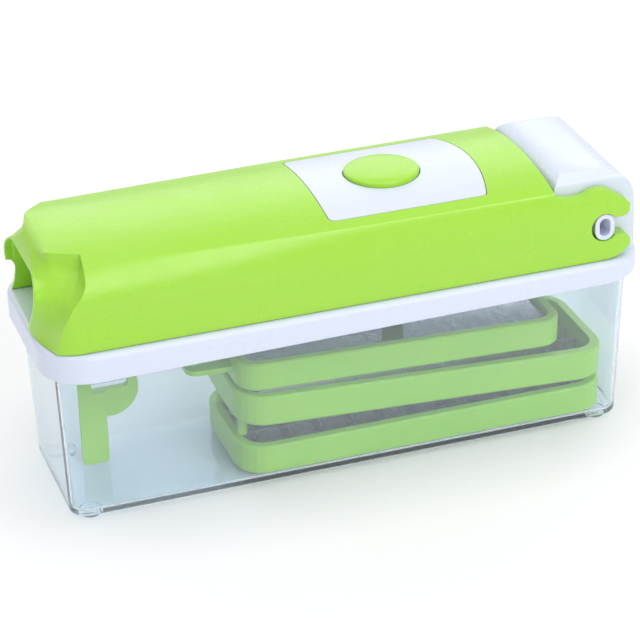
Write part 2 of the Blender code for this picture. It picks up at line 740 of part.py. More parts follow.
def build_slicer(cx, z0, frame_mat, steel):
    """Slicing insert: frame with an inner ledge and a steel plate with a slanted slot."""
    size = (150.0, 56.0)
    bed = insert_ring(size, 10.0, cx, z0, 13.0)
    cut(bed, prism("under", rounded_rect(142.0, 48.0, 7.0, cx), "z", z0 - 5, z0 + 8.2))
    cut(bed, prism("ledge", rounded_rect(136.0, 42.0, 5.0, cx), "z", z0 - 6, z0 + 20))
    cut(bed, prism("tray", rounded_rect(142.0, 48.0, 7.0, cx), "z", z0 + 9.3, z0 + 21))
    finish(bed, "stored_slicer_frame", frame_mat)
    blade = prism("plate", rounded_rect(141.0, 47.0, 6.5, cx), "z", z0 + 9.6, z0 + 10.4)
    slot = [(cx - 8, -19), (cx + 2, -19), (cx + 16, 19), (cx + 6, 19)]
    cut(blade, prism("slot", slot, "z", z0 - 5, z0 + 20))
    return [bed, finish(blade, "stored_slicer_blade", steel)]


def build_stored_inserts(frame_mat, steel):
    cx = 36.0
    z0 = FLOOR_Z + 2.4
    build_frame("stored_fine_frame", cx, z0, 13.6, frame_mat)
    blade_grid("stored_fine_blades", cx, z0, 4, 11, steel)
    z1 = z0 + 16.2
    strip_frame = build_frame("stored_strip_frame", cx, z1, 14.2, frame_mat)
    add_pegs(strip_frame, cx, z1, 9.8)
    finish(strip_frame, "stored_strip_frame", frame_mat)
    strips = blade_grid("stored_strip_blades", cx, z1, 4, 2, steel)
    tilt([strip_frame, strips], 2.75, cx + 86.0, z1)
    z2 = z1 + 18.0
    slicer = build_slicer(cx - 10.0, z2, frame_mat, steel)
    add_slicer_lugs(slicer[0], cx - 10.0, z2)
    finish(slicer[0], "stored_slicer_frame", frame_mat)
    tilt(slicer, 2.0, cx + 86.0, z1)


def add_slicer_lugs(frame, cx, z0):
    """Tongue with two round lugs at the end of the slicing insert."""
    tongue = rounded_rect(24.0, 30.0, 5.0, cx - 83.0)
    join(frame, prism("tongue", tongue, "z", z0 + 5.0, z0 + 7.4))
    for y in (-8.0, 8.0):
        join(frame, prism("lug", ellipse(2.4, 2.4, cx - 91.0, y, 14), "z", z0 + 6.0, z0 + 11.0))


def build_peeler(green, steel):
    """Peeler standing at the free end of the tub: flat handle, round head, small blade."""
    x, z0 = -106.0, FLOOR_Z + 2.5
    strip = prism("strip", rounded_rect(12.0, 64.0, 2.0, x, z0 + 32.0, 3), "y", 6.0, 9.0)
    head = prism("head", ellipse(13.0, 13.0, x + 8.5, z0 + 34.0, 32), "y", 8.4, 11.6)
    join(strip, head)
    window = rounded_rect(17.0, 8.0, 1.5, x + 8.5, z0 + 38.5, 2)
    cut(strip, prism("window", window, "y", 0.0, 20.0))
    finish(strip, "peeler_handle", green)
    blade = prism("blade", rounded_rect(16.2, 3.0, 0.6, x + 8.5, z0 + 38.7, 2), "y", 9.6, 10.4)
    finish(blade, "peeler_blade", steel)


def main():
    clear_scene()
    green = make_material("green_plastic", GREEN, 0.28)
    white = make_material("white_plastic", WHITE, 0.30)
    clear = make_material("clear_plastic", CLEAR, 0.08, alpha=0.35)
    steel = make_material("blade_steel", STEEL, 0.25, metallic=1.0)
    build_tub(clear)
    build_base(white)
    build_lid(green)
    build_panel(white)
    build_button(green)
    build_spring(steel)
    build_pusher(white)
    build_fitted_insert(green, steel)
    build_stored_inserts(green, steel)
    build_peeler(green, steel)


main()
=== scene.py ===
"""Looks of the vegetable dicer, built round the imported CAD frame.

Sizes are in millimetres in the part's own frame (origin under the middle of the tub, X along
the length with the hinge at +X, +Y away from the viewer, Z up) and become metres when a mesh
is made. Big shells are rebuilt here with finer curves; small CAD nodes keep their shape and
get a finished material.
"""

import math

import bpy
import numpy as np
from mathutils import Matrix, Vector


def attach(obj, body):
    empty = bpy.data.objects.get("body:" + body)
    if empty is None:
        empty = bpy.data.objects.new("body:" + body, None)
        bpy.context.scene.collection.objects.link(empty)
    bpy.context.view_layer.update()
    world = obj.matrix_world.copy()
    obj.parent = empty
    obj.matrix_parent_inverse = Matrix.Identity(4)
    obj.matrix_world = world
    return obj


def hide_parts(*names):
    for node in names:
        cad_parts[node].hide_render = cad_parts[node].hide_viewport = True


MM = 0.001
CORNER_STEPS = 20

# Tub
FLOOR_Z = 2.0
TUB_TOP_Z = 81.5
TUB_BOTTOM = (253.4, 68.8)
TUB_AT_RIM = (258.0, 79.6)
TUB_WALL = 1.9
FLANGE = (264.4, 86.2)
FLANGE_Z = 78.6
FOOT_RADIUS = 5.0
FOOT_XY = (117.5, 26.5)

# White base frame
RIM = (270.0, 91.6)
RIM_RADIUS = 21.2
RIM_LOW_Z = 72.0
DECK_Z = 84.75
DECK_THICK = 2.65
SKIRT_WALL = 2.3
SKIRT_RISE = 0.024
SEAT_X = -16.0
SEAT_POCKET = (173.0, 63.0)
SEAT_FLOOR_Z = 79.0
SEAT_BOTTOM_Z = 76.6
HUMP_X = (93.6, 131.0)
HUMP_HALF = 35.1

# Hinge
PIN_X = 114.5
PIN_Z = 100.3
PIN_END_Y = 41.7
CLIP_RADIUS = 15.1
CLIP_BORE = 6.35
CLIP_SLOT = 8.2
ARM_INNER_Y = 35.6
ARM_ROOT_X = 88.6

# Green lid
LID_LOW_Z = 85.1
LID_LEFT_X = -134.6
LID_REAR_X = 91.8
LID_HALF = 42.5
CREST_Z = 124.5
CROWN = 0.0034
ROOF_HALF = ((-150.0, 33.6), (-106.0, 34.0), (-64.0, 36.2), (-19.0, 38.2), (20.0, 39.0), (140.0, 39.6))
BAND_LOW = (42.0, 102.0)
LID_WALL = 2.3
LID_ROOF = 3.7
NOSE_DEPTH = 13.4
NOSE_TOP_X = -121.2
NOSE_LOW_Z = 102.0
LID_CORNER = 16.0
SCOOP_WALL = 1.8
ABOVE_LID = 140.0
BESIDE_LID = 60.0

# Panel and button in the lid
PANEL_X = (-7.2, 68.4)
PANEL_HALF = 32.4
PANEL_BOW = 5.2
PANEL_THICK = 1.6
BUTTON_XY = (27.4, 0.0)
BUTTON_HALF = (16.6, 15.6)
WELL_FLOOR_Z = 111.6
PANEL_GAP = 0.35
SHAFT_GAP = 0.5
HOLE_GAP = 0.4

# Blade inserts
INSERT_LEDGE = (157.0, 47.0)
INSERT_RADIUS = 14.0

# Camera, found once from the object's outline
CAMERA_AT = (-329.98, -1011.19, 608.10)
CAMERA_TARGET = (-2.57, 0.0, 58.02)
CAMERA_ROLL = math.radians(-1.86)
CAMERA_LENS = 153.1

GREEN = (0.385, 0.72, 0.065, 1.0)
GREEN_DEEP = (0.375, 0.73, 0.05, 1.0)
WHITE = (0.72, 0.77, 0.91, 1.0)
WHITE_DEEP = (0.71, 0.765, 0.91, 1.0)
CLEAR = (0.86, 0.93, 0.98, 1.0)
STEEL = (0.62, 0.63, 0.65, 1.0)
STEEL_WORN = (0.50, 0.51, 0.53, 1.0)
MILKY = 0.91


# ---------------------------------------------------------------- mesh helpers

def signed_volume(mesh):
    """Six times the volume inside a mesh; negative when its faces point inwards."""
    mesh.calc_loop_triangles()
    total = 0.0
    for tri in mesh.loop_triangles:
        a, b, c = [mesh.vertices[i].co for i in tri.vertices]
        total += a.dot(b.cross(c))
    return total


def make_object(name, verts, faces):
    """Mesh object from points in millimetres, with its faces turned outwards."""
    mesh = bpy.data.meshes.new(name)
    points = [(p[0] * MM, p[1] * MM, p[2] * MM) for p in verts]
    mesh.from_pydata(points, [], faces)
    mesh.validate()
    obj = bpy.data.objects.new(name, mesh)
    bpy.context.scene.collection.objects.link(obj)
    if signed_volume(mesh) < 0:
        mesh.flip_normals()
    return obj


def loft(name, sections, split=False):
    """Closed solid through rings of equal count; split makes warped sides into flat triangles."""
    count = len(sections[0])
    verts = [point for ring_points in sections for point in ring_points]
    faces = [tuple(reversed(range(count)))]
    for s in range(len(sections) - 1):
        for i in range(count):
            j = (i + 1) % count
            side = (s * count + i, s * count + j, (s + 1) * count + j, (s + 1) * count + i)
            faces += [side[:3], (side[0], side[2], side[3])] if split else [side]
    last = (len(sections) - 1) * count
    faces.append(tuple(last + i for i in range(count)))
    return make_object(name, verts, faces)


def prism(name, outline, axis, low, high):
    """Outline extruded along an axis; x takes (y, z), y takes (x, z), z takes (x, y)."""
    def place(pair, along):
        if axis == "x":
            return (along, pair[0], pair[1])
        if axis == "y":
            return (pair[0], along, pair[1])
        return (pair[0], pair[1], along)
    return loft(name, [[place(p, low) for p in outline], [place(p, high) for p in outline]])


def rounded_rect(length, width, radius, cx=0.0, cy=0.0, steps=CORNER_STEPS):
    points = []
    for sx, sy, start in ((1, -1, -90), (1, 1, 0), (-1, 1, 90), (-1, -1, 180)):
        for k in range(steps + 1):
            a = math.radians(start + 90.0 * k / steps)
            x = cx + sx * (length / 2 - radius) + radius * math.cos(a)
            y = cy + sy * (width / 2 - radius) + radius * math.sin(a)
            points.append((x, y))
    return points


def ring(size, radius, z, inset=0.0):
    outline = rounded_rect(size[0] - 2 * inset, size[1] - 2 * inset, max(radius - inset, 0.8))
    return [(x, y, z) for x, y in outline]


def ellipse(rx, ry, cx, cy, count=96):
    steps = [2 * math.pi * k / count for k in range(count)]
    return [(cx + rx * math.cos(a), cy + ry * math.sin(a)) for a in steps]


def obround(width, height, cx, cz, steps=20):
    radius = width / 2
    rise = height / 2 - radius
    points = []
    for start, offset in ((0, rise), (180, -rise)):
        for k in range(steps + 1):
            a = math.radians(start + 180.0 * k / steps)
            points.append((cx + radius * math.cos(a), cz + offset + radius * math.sin(a)))
    return points


def smooth_chain(points, per_span):
    """Catmull-Rom curve through a few points."""
    pts = np.array(points, dtype=float)
    padded = np.vstack([2 * pts[0] - pts[1], pts, 2 * pts[-1] - pts[-2]])
    curve = []
    for i in range(len(pts) - 1):
        a, b, c, d = padded[i:i + 4]
        for k in range(per_span):
            t = k / per_span
            linear = 2 * b + (c - a) * t
            bend = (2 * a - 5 * b + 4 * c - d) * t * t + (3 * b - 3 * c + d - a) * t ** 3
            curve.append((linear + bend) / 2)
    curve.append(pts[-1])
    return np.array(curve)


def fillet_arc(centre, radius, start, end, steps):
    """Points on an arc, as (a, b) pairs, with angles in degrees."""
    points = []
    for k in range(steps + 1):
        a = math.radians(start + (end - start) * k / steps)
        points.append((centre[0] + radius * math.cos(a), centre[1] + radius * math.sin(a)))
    return points


def boolean(target, cutter, operation):
    """Apply one exact Boolean and drop the cutter."""
    mod = target.modifiers.new("cut", "BOOLEAN")
    mod.operation = operation
    mod.solver = "EXACT"
    mod.object = cutter
    bpy.context.view_layer.update()
    graph = bpy.context.evaluated_depsgraph_get()
    mesh = bpy.data.meshes.new_from_object(target.evaluated_get(graph))
    target.modifiers.clear()
    old = target.data
    target.data = mesh
    bpy.data.meshes.remove(old)
    bpy.data.objects.remove(cutter, do_unlink=True)
    return target


def cut(target, cutter):
    return boolean(target, cutter, "DIFFERENCE")


def join(target, other):
    return boolean(target, other, "UNION")


def common(target, other):
    return boolean(target, other, "INTERSECT")


def shade(obj, angle=30.0):
    """Smooth faces with creases kept where two faces meet at more than the angle."""
    for poly in obj.data.polygons:
        poly.use_smooth = True
    obj.data.set_sharp_from_angle(angle=math.radians(angle))
    weights = obj.modifiers.new("weighted", "WEIGHTED_NORMAL")
    weights.keep_sharp = True
    weights.weight = 60


def present(obj, name, material, body, nodes, angle=30.0):
    """Name a rebuilt piece, give it its material, its body and the CAD nodes it stands for."""
    obj.name = name
    obj.data.name = name
    obj.data.materials.clear()
    obj.data.materials.append(material)
    shade(obj, angle)
    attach(obj, body)
    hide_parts(*nodes)
    return obj


# ---------------------------------------------------------------- materials

def new_material(name):
    mat = bpy.data.materials.new(name)
    mat.use_nodes = True
    return mat, mat.node_tree.nodes, mat.node_tree.links


def noise(nodes, links, coords, scale, detail, roughness=0.5):
    tex = nodes.new("ShaderNodeTexNoise")
    tex.inputs["Scale"].default_value = scale
    tex.inputs["Detail"].default_value = detail
    tex.inputs["Roughness"].default_value = roughness
    links.new(coords, tex.inputs["Vector"])
    return tex.outputs["Fac"]


def ramp(nodes, links, value, low, high, out_low, out_high):
    node = nodes.new("ShaderNodeMapRange")
    node.interpolation_type = "SMOOTHSTEP"
    node.inputs["From Min"].default_value = low
    node.inputs["From Max"].default_value = high
    node.inputs["To Min"].default_value = out_low
    node.inputs["To Max"].default_value = out_high
    links.new(value, node.inputs["Value"])
    return node.outputs["Result"]


def mix_colour(nodes, links, factor, first, second):
    node = nodes.new("ShaderNodeMix")
    node.data_type = "RGBA"
    node.inputs[6].default_value = first
    node.inputs[7].default_value = second
    links.new(factor, node.inputs[0])
    return node.outputs[2]


def stretched(nodes, links, coords, scale):
    node = nodes.new("ShaderNodeMapping")
    node.inputs["Scale"].default_value = scale
    links.new(coords, node.inputs["Vector"])
    return node.outputs["Vector"]


def add_values(nodes, links, first, second):
    node = nodes.new("ShaderNodeMath")
    node.operation = "ADD"
    links.new(first, node.inputs[0])
    links.new(second, node.inputs[1])
    return node.outputs["Value"]


def scratches(nodes, links, coords, scale, turn):
    """Thin hairlines, 1 on a scratch and 0 elsewhere."""
    node = nodes.new("ShaderNodeMapping")
    node.inputs["Rotation"].default_value = (0.3, 0.2, turn)
    node.inputs["Scale"].default_value = (scale, scale * 0.06, scale * 0.3)
    links.new(coords, node.inputs["Vector"])
    fine = noise(nodes, links, node.outputs["Vector"], 1.0, 2.0)
    return ramp(nodes, links, fine, 0.70, 0.74, 0.0, 1.0)


def moulded_plastic(name, colour, deep, roughness, bump, subsurface=0.0, edge=0.35):
    """Glossy moulded plastic: faint flow marks, hairline wear and soft rounded edges."""
    mat, nodes, links = new_material(name)
    shader = nodes["Principled BSDF"]
    coords = nodes.new("ShaderNodeTexCoord").outputs["Object"]
    flow = noise(nodes, links, stretched(nodes, links, coords, (14.0, 40.0, 40.0)), 1.0, 3.0)
    colour_out = mix_colour(nodes, links, ramp(nodes, links, flow, 0.3, 0.7, 0.0, 1.0), colour, deep)
    links.new(colour_out, shader.inputs["Base Color"])
    cloud = noise(nodes, links, coords, 55.0, 4.0)
    lines = scratches(nodes, links, coords, 900.0, 0.5)
    base = ramp(nodes, links, cloud, 0.3, 0.7, roughness - 0.035, roughness + 0.045)
    wear = ramp(nodes, links, lines, 0.0, 1.0, 0.0, 0.06)
    links.new(add_values(nodes, links, base, wear), shader.inputs["Roughness"])
    grain = noise(nodes, links, coords, 1500.0, 2.0)
    waves = noise(nodes, links, coords, 26.0, 1.0)
    height = add_values(nodes, links, ramp(nodes, links, grain, 0.0, 1.0, 0.0, 0.25),
                        ramp(nodes, links, waves, 0.0, 1.0, 0.0, 1.0))
    bumper = nodes.new("ShaderNodeBump")
    bumper.inputs["Strength"].default_value = bump
    bumper.inputs["Distance"].default_value = 0.0003
    links.new(height, bumper.inputs["Height"])
    soft_edge = nodes.new("ShaderNodeBevel")
    soft_edge.samples = 4
    soft_edge.inputs["Radius"].default_value = edge * MM
    links.new(soft_edge.outputs["Normal"], bumper.inputs["Normal"])
    links.new(bumper.outputs["Normal"], shader.inputs["Normal"])
    shader.inputs["IOR"].default_value = 1.49
    shader.inputs["Subsurface Weight"].default_value = subsurface
    shader.inputs["Subsurface Radius"].default_value = (0.6, 1.0, 0.25)
    shader.inputs["Subsurface Scale"].default_value = 0.004
    return mat


def let_lamps_through(nodes, links, shader):
    """Clear plastic throws no dark shadow: lamp rays pass as through a clean pane."""
    through = nodes.new("ShaderNodeBsdfTransparent")
    through.inputs["Color"].default_value = (0.95, 0.97, 0.985, 1.0)
    ray = nodes.new("ShaderNodeLightPath")
    mixer = nodes.new("ShaderNodeMixShader")
    links.new(ray.outputs["Is Shadow Ray"], mixer.inputs[0])
    links.new(shader.outputs["BSDF"], mixer.inputs[1])
    links.new(through.outputs["BSDF"], mixer.inputs[2])
    links.new(mixer.outputs["Shader"], nodes["Material Output"].inputs["Surface"])


def clear_plastic(name):
    """Clear styrene with faint cloudiness, rubbed patches and hairline scratches."""
    mat, nodes, links = new_material(name)
    shader = nodes["Principled BSDF"]
    coords = nodes.new("ShaderNodeTexCoord").outputs["Object"]
    cloud = noise(nodes, links, coords, 30.0, 4.0)
    deeper = (CLEAR[0] - 0.03, CLEAR[1] - 0.02, CLEAR[2] - 0.005, 1.0)
    tint = mix_colour(nodes, links, ramp(nodes, links, cloud, 0.3, 0.7, 0.0, 1.0), CLEAR, deeper)
    links.new(tint, shader.inputs["Base Color"])
    lines = add_values(nodes, links, scratches(nodes, links, coords, 700.0, 0.4),
                       scratches(nodes, links, coords, 500.0, -0.7))
    base = ramp(nodes, links, cloud, 0.3, 0.75, 0.015, 0.06)
    wear = ramp(nodes, links, lines, 0.0, 1.0, 0.0, 0.10)
    links.new(add_values(nodes, links, base, wear), shader.inputs["Roughness"])
    bumper = nodes.new("ShaderNodeBump")
    bumper.inputs["Strength"].default_value = 0.08
    bumper.inputs["Distance"].default_value = 0.0005
    links.new(noise(nodes, links, coords, 34.0, 1.5), bumper.inputs["Height"])
    links.new(bumper.outputs["Normal"], shader.inputs["Normal"])
    shader.inputs["Transmission Weight"].default_value = MILKY
    shader.inputs["IOR"].default_value = 1.38
    let_lamps_through(nodes, links, shader)
    return mat


def ground_steel(name):
    """Blade steel with fine grinding lines and a few dull spots."""
    mat, nodes, links = new_material(name)
    shader = nodes["Principled BSDF"]
    coords = nodes.new("ShaderNodeTexCoord").outputs["Object"]
    lines = noise(nodes, links, stretched(nodes, links, coords, (120.0, 120.0, 9000.0)), 1.0, 3.0)
    spots = noise(nodes, links, coords, 160.0, 4.0)
    worn = ramp(nodes, links, spots, 0.35, 0.7, 0.0, 1.0)
    tone = mix_colour(nodes, links, worn, STEEL, STEEL_WORN)
    links.new(tone, shader.inputs["Base Color"])
    rough = add_values(nodes, links, ramp(nodes, links, lines, 0.3, 0.7, 0.16, 0.26),
                       ramp(nodes, links, spots, 0.45, 0.75, 0.0, 0.12))
    links.new(rough, shader.inputs["Roughness"])
    bumper = nodes.new("ShaderNodeBump")
    bumper.inputs["Strength"].default_value = 0.25
    bumper.inputs["Distance"].default_value = 0.00005
    links.new(lines, bumper.inputs["Height"])
    links.new(bumper.outputs["Normal"], shader.inputs["Normal"])
    shader.inputs["Metallic"].default_value = 1.0
    return mat


# ---------------------------------------------------------------- tub

def tub_size(z):
    t = (z - FLOOR_Z) / (RIM_LOW_Z - FLOOR_Z)
    length = TUB_BOTTOM[0] + t * (TUB_AT_RIM[0] - TUB_BOTTOM[0])
    width = TUB_BOTTOM[1] + t * (TUB_AT_RIM[1] - TUB_BOTTOM[1])
    return (length, width), 8.0 + 3.0 * t


def tub_ring(z, inset):
    size, radius = tub_size(z)
    return ring(size, radius, z, inset)


def build_tub(material):
    sections = [tub_ring(FLOOR_Z, 3.4)]
    for k in range(9):
        a = math.radians(90.0 * k / 8)
        sections.append(tub_ring(FLOOR_Z + 2.6 * (1 - math.cos(a)), 2.6 * (1 - math.sin(a))))
    sections += [tub_ring(z, 0.0) for z in (20.0, 40.0, 60.0, FLANGE_Z)]
    for z, inset in ((FLANGE_Z, 0.4), (FLANGE_Z + 0.4, 0.0), (TUB_TOP_Z - 0.5, 0.0), (TUB_TOP_Z, 0.5)):
        sections.append(ring(FLANGE, 17.5, z, inset))
    sections.append(tub_ring(TUB_TOP_Z, TUB_WALL - 0.5))
    sections.append(tub_ring(TUB_TOP_Z - 0.5, TUB_WALL))
    sections += [tub_ring(z, TUB_WALL) for z in (60.0, 40.0, 20.0)]
    for k in range(9):
        a = math.radians(90.0 * k / 8)
        drop = 3.2 * math.sin(a)
        sections.append(tub_ring(FLOOR_Z + 5.2 - drop, TUB_WALL + 3.2 * (1 - math.cos(a))))
    tub = loft("tub", sections)
    for sx in (-1, 1):
        for sy in (-1, 1):
            foot = []
            for z, r in ((0.0, 4.3), (0.25, 4.75), (0.7, FOOT_RADIUS), (FLOOR_Z + 0.6, FOOT_RADIUS)):
                foot.append([(x, y, z) for x, y in ellipse(r, r, sx * FOOT_XY[0], sy * FOOT_XY[1], 48)])
            join(tub, loft("foot", foot))
    return present(tub, "tub", material, "tub", ["container"])


# ---------------------------------------------------------------- base frame

def skirt_edge(points):
    """Lower edge of the skirt, a little higher towards the hinge."""
    return [(x, y, z + SKIRT_RISE * max(x, 0.0)) for x, y, z in points]


def build_rim():
    ceiling = DECK_Z - DECK_THICK
    inner = (RIM[0] - 2 * SKIRT_WALL, RIM[1] - 2 * SKIRT_WALL)
    sections = [
        ring(inner, RIM_RADIUS - SKIRT_WALL, ceiling),
        skirt_edge(ring(inner, RIM_RADIUS - SKIRT_WALL, RIM_LOW_Z)),
        skirt_edge(ring(RIM, RIM_RADIUS, RIM_LOW_Z, 0.8)),
        skirt_edge(ring(RIM, RIM_RADIUS, RIM_LOW_Z + 0.25, 0.25)),
        skirt_edge(ring(RIM, RIM_RADIUS, RIM_LOW_Z + 0.9)),
    ]
    for k in range(9):
        a = math.radians(90.0 * k / 8)
        sections.append(ring(RIM, RIM_RADIUS, DECK_Z - 2.4 * (1 - math.sin(a)), 2.4 * (1 - math.cos(a))))
    return loft("rim", sections)


def hump_side_profile():
    x0, x1 = HUMP_X
    knots = [
        (x0, 118.3), (95.0, 120.9), (98.0, 123.6), (101.0, 125.1), (104.5, 125.6),
        (112.0, 124.6), (120.0, 122.6), (125.0, 120.4), (128.4, 117.2), (130.4, 112.6), (x1, 106.0),
    ]
    top = [(min(x, x1), z) for x, z in smooth_chain(knots, 5)]
    return [(x0, 82.6)] + top + [(x1, 82.6)]


def hump_cross_profile(half, top):
    knots = [
        (half, top - 14.0), (half - 0.9, top - 7.0), (half - 3.0, top - 3.9), (half - 6.5, top - 2.0),
        (half - 14.0, top - 0.7), (0.0, top),
    ]
    right = [(half, 82.0)] + [(min(y, half), z) for y, z in smooth_chain(knots, 6)]
    left = [(-y, z) for y, z in reversed(right[:-1])]
    return right + left


def build_hump(inset):
    x0, x1 = HUMP_X
    mid = (x0 + x1) / 2
    scale = (x1 - x0 - 2 * inset) / (x1 - x0)
    outline = []
    for x, z in hump_side_profile():
        lift = inset if z > 90 or inset == 0 else 4.0
        outline.append((mid + (x - mid) * scale, z - lift))
    hump = prism("hump", outline, "y", -60.0, 60.0)
    cross = hump_cross_profile(HUMP_HALF - inset, 125.9 - inset)
    if inset > 0:
        cross = [(y, z - 4.0 if z < 90 else z) for y, z in cross]
    return common(hump, prism("hump_cross", cross, "x", x0 - 10, x1 + 10))


def build_base(material):
    base = build_rim()
    seat_box = rounded_rect(SEAT_POCKET[0] + 4.4, SEAT_POCKET[1] + 4.4, INSERT_RADIUS + 2.4, SEAT_X)
    join(base, prism("seat", seat_box, "z", SEAT_BOTTOM_Z, DECK_Z - 1.0))
    pocket = rounded_rect(SEAT_POCKET[0], SEAT_POCKET[1], INSERT_RADIUS + 0.4, SEAT_X)
    cut(base, prism("pocket", pocket, "z", SEAT_FLOOR_Z, DECK_Z + 5))
    opening = rounded_rect(INSERT_LEDGE[0], INSERT_LEDGE[1], 8.0, SEAT_X)
    cut(base, prism("opening", opening, "z", SEAT_BOTTOM_Z - 5, DECK_Z + 5))
    join(base, build_hump(0.0))
    for side in (-1, 1):
        join(base, prism("pin", obround(9.0, 12.0, PIN_X, PIN_Z), "y", side * 33.4, side * PIN_END_Y))
    cut(base, build_hump(2.4))
    for side in (-1, 1):
        cut(base, prism("bore", obround(5.0, 8.2, PIN_X, PIN_Z), "y", side * 30.0, side * 60.0))
    return present(base, "base", material, "base", ["base_frame"])


# ---------------------------------------------------------------- lid

def crown_z(y, drop=0.0):
    return CREST_Z - CROWN * y * y - drop


def lid_half_section(crease):
    """Right half of the lid's cross-section: wall, rounded band, crease, then the low roof."""
    y0, z0 = BAND_LOW
    z1 = crown_z(crease)
    side = [(LID_HALF, LID_LOW_Z), (42.25, 94.0), BAND_LOW]
    side += [(y0 - (y0 - crease) * t ** 1.9, z0 + (z1 - z0) * t) for t in np.linspace(0.1, 0.97, 12)]
    return side + [(crease * t, crown_z(crease * t)) for t in np.linspace(0.995, 0.0, 26)]


def mirror_section(half):
    """Whole cross-section from its right half."""
    return half + [(-y, z) for y, z in reversed(half[:-1])]


def lid_section(crease, outer):
    """Closed cross-section of the lid's outside or of its hollow."""
    half = lid_half_section(crease)
    if outer:
        return mirror_section([(LID_HALF, LID_LOW_Z - 2)] + half)
    inner = []
    for y, z in half:
        drop = LID_ROOF if y <= crease else LID_WALL * 0.6
        inner.append((max(y - LID_WALL, 0.0), z - drop if z > 110 else z))
    inner[0] = (LID_HALF - LID_WALL, LID_LOW_Z - 4)
    return mirror_section(inner)


def lid_body(name, outer, x_end):
    """Cross-section carried along the lid, its crease running outwards towards the hinge."""
    sections = []
    for x, crease in ROOF_HALF:
        sections.append([(min(x, x_end), y, z) for y, z in lid_section(crease, outer)])
    return loft(name, sections, split=True)


def nose_profile(inset):
    """Round nose at the left end of the lid, seen from the side."""
    points = [(LID_LEFT_X + inset, 80.0)]
    for k in range(33):
        a = math.radians(90.0 * k / 32)
        x = NOSE_TOP_X - (NOSE_DEPTH - inset) * math.cos(a)
        z = NOSE_LOW_Z + (CREST_Z - NOSE_LOW_Z - inset) * math.sin(a)
        points.append((x, z))
    return points


def lid_side_outline():
    """Side outline: nose, roof, then the hinge arms with their round clips."""
    knots = [(LID_REAR_X, 117.6), (96.0, 116.0), (100.3, 115.4), (104.5, 115.6), (108.0, 117.0)]
    knots += [(111.5, 117.8), (115.0, 117.4), (118.4, 115.8), (121.2, 113.8)]
    neck = smooth_chain(knots, 6)
    points = nose_profile(0.0) + [(LID_REAR_X, CREST_Z)] + [(x, z) for x, z in neck]
    points += fillet_arc((PIN_X, PIN_Z), CLIP_RADIUS, 52.0, -96.0, 44)
    return points + [(111.6, 80.0)]


def cavity_side_outline():
    """Side outline of the hollow, one wall inside the lid."""
    return nose_profile(LID_WALL) + [(150.0, CREST_Z - LID_WALL), (150.0, 80.0)]


def lid_plan(inset):
    """Plan outline of the lid with the two round corners of the nose."""
    radius = LID_CORNER - inset
    left = LID_LEFT_X + inset + radius
    side = LID_HALF - inset - radius
    points = fillet_arc((left, side), radius, 90.0, 180.0, 28)
    points += fillet_arc((left, -side), radius, 180.0, 270.0, 28)
    return points + [(160.0, -LID_HALF + inset), (160.0, LID_HALF - inset)]


SCOOP_LEVELS = (
    (84.0, ((-140, -9), (-135.2, -13), (-134.6, -20), (-133.4, -27), (-131.6, -33), (-129.8, -38),
            (-128.6, -42), (-128, -46), (-127.4, -50))),
    (88.0, ((-140, -12), (-134.2, -16), (-133.2, -20.5), (-131.8, -26), (-130.2, -32), (-128.8, -37),
            (-128, -41.4), (-127.8, -45), (-127.4, -50))),
    (95.0, ((-140, -19), (-133.5, -22), (-132, -24.5), (-130, -28), (-128.4, -32), (-127.2, -37),
            (-126.6, -42), (-126.4, -45), (-126, -50))),
    (104.0, ((-140, -25), (-133.2, -28), (-131, -28.5), (-128, -30), (-125, -33), (-123.3, -37),
             (-122.6, -41.3), (-122.4, -44), (-122.4, -50))),
    (109.0, ((-140, -24), (-133.3, -26.8), (-130.5, -27.3), (-126.8, -28.5), (-122.5, -31), (-119, -35),
             (-118.2, -39), (-118.1, -43), (-118.4, -50))),
    (113.0, ((-140, -18), (-132.7, -21.2), (-130.5, -23), (-126.5, -25.5), (-121.5, -27.5), (-116.5, -31),
             (-115.2, -36), (-115.4, -41), (-115.8, -50))),
    (117.0, ((-140, -9), (-131.2, -12.4), (-129.5, -18), (-126, -22.5), (-120.5, -24.5), (-114.2, -27.8),
             (-114.5, -35.5), (-114.6, -41), (-115, -50))),
    (122.0, ((-140, -2), (-128.7, -5.3), (-128.2, -12), (-126.6, -20), (-121, -23.1), (-113.4, -25.7),
             (-114.2, -33), (-114.6, -40), (-115, -50))),
    (130.0, ((-140, -2), (-128.7, -5.3), (-128.2, -12), (-126.6, -20), (-121, -23.1), (-113.4, -25.7),
             (-114.2, -33), (-114.6, -40), (-115, -50))),
)

FAR_CORNER = ((-126, -19.4), (-122.4, -25), (-119, -29.4), (-115.4, -34), (-111.4, -38.6), (-102, -50))


def scoop_row(z, row, side):
    """Plan line of a scoop at one height; the far roof corner is eased into a plain curve."""
    if side < 0:
        return row
    ease = min(max((z - 113.0) / 4.0, 0.0), 1.0)
    eased = [(x + (fx - x) * ease, y + (fy - y) * ease) for (x, y), (fx, fy) in zip(row[3:], FAR_CORNER)]
    return list(row[:3]) + eased


def build_scoop(side, shift):
    """Concave finger scoop at one corner of the nose, moved inward by shift."""
    levels = [[(x, y, z) for x, y in scoop_row(z, row, side)] for z, row in SCOOP_LEVELS]
    levels = np.array(levels, dtype=float)
    columns = [smooth_chain(levels[:, i], 6) for i in range(levels.shape[1])]
    sections = []
    for s in range(len(columns[0])):
        row = [column[s] for column in columns]
        row = [row[0], *smooth_chain(row[1:6], 5), *smooth_chain(row[5:], 4)[1:]]
        z = row[0][2]
        inner = [(x + shift, (y + shift) * side * -1, z) for x, y, _ in row]
        outer = [(-135.0, 70.0 * side, z), (-160.0, 60.0 * side, z), (-165.0, 20.0 * side, z)]
        sections.append(inner + outer)
    return loft("scoop", sections, split=True)


